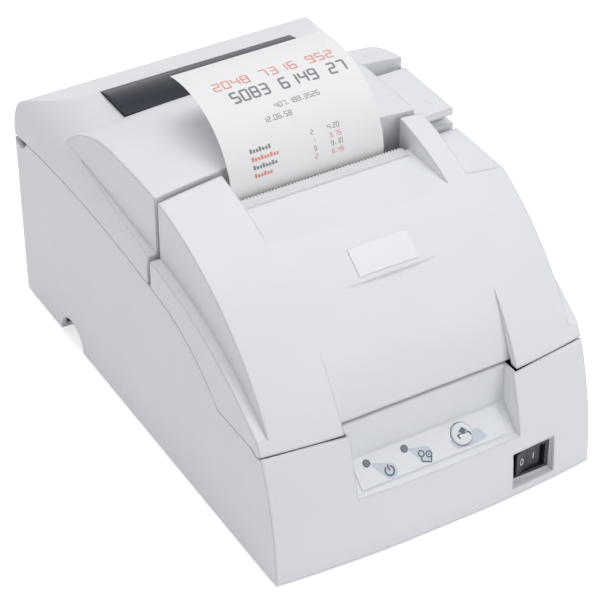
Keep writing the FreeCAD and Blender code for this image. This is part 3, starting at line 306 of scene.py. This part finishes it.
def on_slip(lift):
    """Maps across and along the slip to its outer face: straight up, a tight curl, then a wider one."""
    first = Vector((0.0, SLIP_Y + ARCS[0][0], BEND_Z))

    def ray(angle):
        return Vector((0.0, -math.cos(angle), math.sin(angle)))

    second = first + ray(ARCS[0][1]) * (ARCS[0][0] - ARCS[1][0])

    def lay(u, s):
        rest = s - (BEND_Z - SLIP_LOW_Z)
        if rest <= 0:
            return (u, SLIP_Y - lift, SLIP_LOW_Z + s)
        angle = rest / ARCS[0][0]
        if angle <= ARCS[0][1]:
            spot = first + ray(angle) * (ARCS[0][0] + lift)
        else:
            angle = ARCS[0][1] + (rest - ARCS[0][0] * ARCS[0][1]) / ARCS[1][0]
            spot = second + ray(angle) * (ARCS[1][0] + lift)
        return (u, spot.y, spot.z)

    return lay


SEGMENTS = {
    "0": "abcdef", "1": "bc", "2": "abged", "3": "abgcd", "4": "fgbc", "5": "afgcd", "6": "afgedc",
    "7": "abc", "8": "abcdefg", "9": "abcdfg"}


def digits(figure, text, u, v, wide, high, thick):
    """Plain figures made of straight strokes."""
    for letter in text:
        left, right, low, middle, top = u, u + wide, v, v + high / 2, v + high
        lines = {
            "a": [(left, top), (right, top)], "b": [(right, top), (right, middle)],
            "c": [(right, middle), (right, low)], "d": [(left, low), (right, low)],
            "e": [(left, middle), (left, low)], "f": [(left, top), (left, middle)],
            "g": [(left, middle), (right, middle)]}
        for segment in SEGMENTS.get(letter, ""):
            figure.stroke(lines[segment], thick)
        if letter == ".":
            figure.bar(u, v, thick * 1.4, thick * 1.4)
        u += wide * (0.9 if letter == "." else 1.55)


def bars(figure, u, v, count, wide, high):
    """A word as a row of plain upright blocks of uneven height."""
    for index in range(count):
        figure.bar(u, v, wide * 0.72, high * (1.0 if index % 3 == 0 else 0.7))
        u += wide


red = Flat()
grey = Flat()
digits(red, "2048 7316 952", -31.5, 84.5, 3.0, 4.6, 0.62)
digits(grey, "5083 6149 27", -27.0, 75.4, 3.1, 5.6, 1.0)
digits(grey, "407.188.3526", -11.0, 67.6, 1.3, 2.2, 0.3)
digits(grey, "12.06.58", -19.0, 62.6, 1.3, 2.2, 0.3)
ROWS = (
    (51.8, 7, "2", "4.20", False), (48.2, 9, "1", "3.75", True), (44.6, 8, "3", "9.10", False),
    (41.0, 6, "2", "6.45", True))
for height, letters, number, price, is_red in ROWS:
    target = red if is_red else grey
    bars(target, -30.0, height, letters, 1.5, 1.9)
    digits(target, number, 0.0, height, 1.1, 2.0, 0.28)
    digits(target, price, 8.5, height, 1.1, 2.0, 0.28)
red.laid("slip_print_red", on_slip(PRINT_LIFT), PRINT_RED, "roll_cover")
grey.laid("slip_print_grey", on_slip(PRINT_LIFT), PRINT_DARK, "roll_cover")

# Teeth along the tear edge
TEETH_HALF = 41.0
TOOTH = 1.6
TOOTH_SUNK = 0.1
TOOTH_REACH = 1.3
TOOTH_THICK = 0.7
TOOTH_PROUD = 0.02
TEAR_BACK_Y = -20.8
TEAR_TOP = 124.8
teeth = []
teeth_faces = []
count = int(2 * TEETH_HALF / TOOTH)
for index in range(count):
    left = -TEETH_HALF + index * TOOTH
    start = len(teeth)
    for z in (TEAR_TOP - TOOTH_THICK, TEAR_TOP + TOOTH_PROUD):
        teeth += [
            (left, TEAR_BACK_Y - TOOTH_SUNK, z), (left + TOOTH, TEAR_BACK_Y - TOOTH_SUNK, z),
            (left + TOOTH / 2, TEAR_BACK_Y + TOOTH_REACH, z)]
    prism = ((0, 2, 1), (3, 4, 5), (0, 1, 4, 3), (1, 2, 5, 4), (2, 0, 3, 5))
    teeth_faces += [[start + corner for corner in face] for face in prism]
piece("tear_teeth", teeth, teeth_faces, TEAR, "front_cover")

# Stage, light and camera
def seen(tree):
    """One for rays that show the backdrop, directly or in metal and glass, and nought for its light."""
    path = tree.nodes.new("ShaderNodeLightPath")
    total = path.outputs["Is Camera Ray"]
    for kind in ("Is Glossy Ray", "Is Transmission Ray"):
        add = tree.nodes.new("ShaderNodeMath")
        add.use_clamp = True
        tree.links.new(total, add.inputs[0])
        tree.links.new(path.outputs[kind], add.inputs[1])
        total = add.outputs["Value"]
    return total


floor_mesh = bpy.data.meshes.new("floor")
FLOOR = 4.0
FLOOR_GLOW = 0.62
floor_corners = [(-FLOOR, -FLOOR, 0), (FLOOR, -FLOOR, 0), (FLOOR, FLOOR, 0), (-FLOOR, FLOOR, 0)]
floor_mesh.from_pydata(floor_corners, [], [[0, 1, 2, 3]])
floor = bpy.data.objects.new("floor", floor_mesh)
bpy.context.scene.collection.objects.link(floor)
FLOOR_WHITE = material(
    "floor_white", (0.92, 0.92, 0.925), rough=0.9, grain=200.0, bump=0.0, spread=0.004, glow=FLOOR_GLOW)
floor_tree = FLOOR_WHITE.node_tree
glow_level = floor_tree.nodes.new("ShaderNodeMath")
glow_level.operation = "MULTIPLY"
glow_level.inputs[1].default_value = FLOOR_GLOW
floor_tree.links.new(seen(floor_tree), glow_level.inputs[0])
floor_tree.links.new(
    glow_level.outputs["Value"], floor_tree.nodes["Principled BSDF"].inputs["Emission Strength"])
floor.data.materials.append(FLOOR_WHITE)

world = bpy.context.scene.world or bpy.data.worlds.new("world")
bpy.context.scene.world = world
world.use_nodes = True
sky = world.node_tree
background = sky.nodes["Background"]
mix = sky.nodes.new("ShaderNodeMix")
mix.data_type = "RGBA"
mix.inputs["A"].default_value = (0.41, 0.415, 0.425, 1.0)
mix.inputs["B"].default_value = (1.0, 1.0, 1.0, 1.0)
sky.links.new(seen(sky), mix.inputs["Factor"])
sky.links.new(mix.outputs["Result"], background.inputs["Color"])
background.inputs["Strength"].default_value = 1.0


def lamp(name, spot, target, wide, power):
    data = bpy.data.lights.new(name, "AREA")
    data.size = wide
    data.energy = power
    made = bpy.data.objects.new(name, data)
    made.location = spot
    made.rotation_euler = (Vector(target) - Vector(spot)).to_track_quat("-Z", "Y").to_euler()
    bpy.context.scene.collection.objects.link(made)


lamp("top_light", (0.1, 0.2, 1.7), (0, 0, 0.05), 1.4, 13.2)
lamp("front_light", (0.7, -1.5, 0.9), (0, 0, 0.06), 0.9, 7.2)
lamp("left_light", (-1.5, -0.2, 0.8), (0, 0, 0.06), 1.0, 1.0)

camera_data = bpy.data.cameras.new("camera")
camera_data.lens = 139.8
camera_data.sensor_width = 36.0
camera_data.clip_start = 0.01
camera_data.dof.use_dof = False
camera = bpy.data.objects.new("camera", camera_data)
camera.location = (-0.42891, -0.73449, 0.68640)
camera.rotation_euler = (math.radians(52.93), 0.0, math.radians(-30.39))
bpy.context.scene.collection.objects.link(camera)
bpy.context.scene.camera = camera
bpy.context.scene.view_settings.view_transform = "Standard"
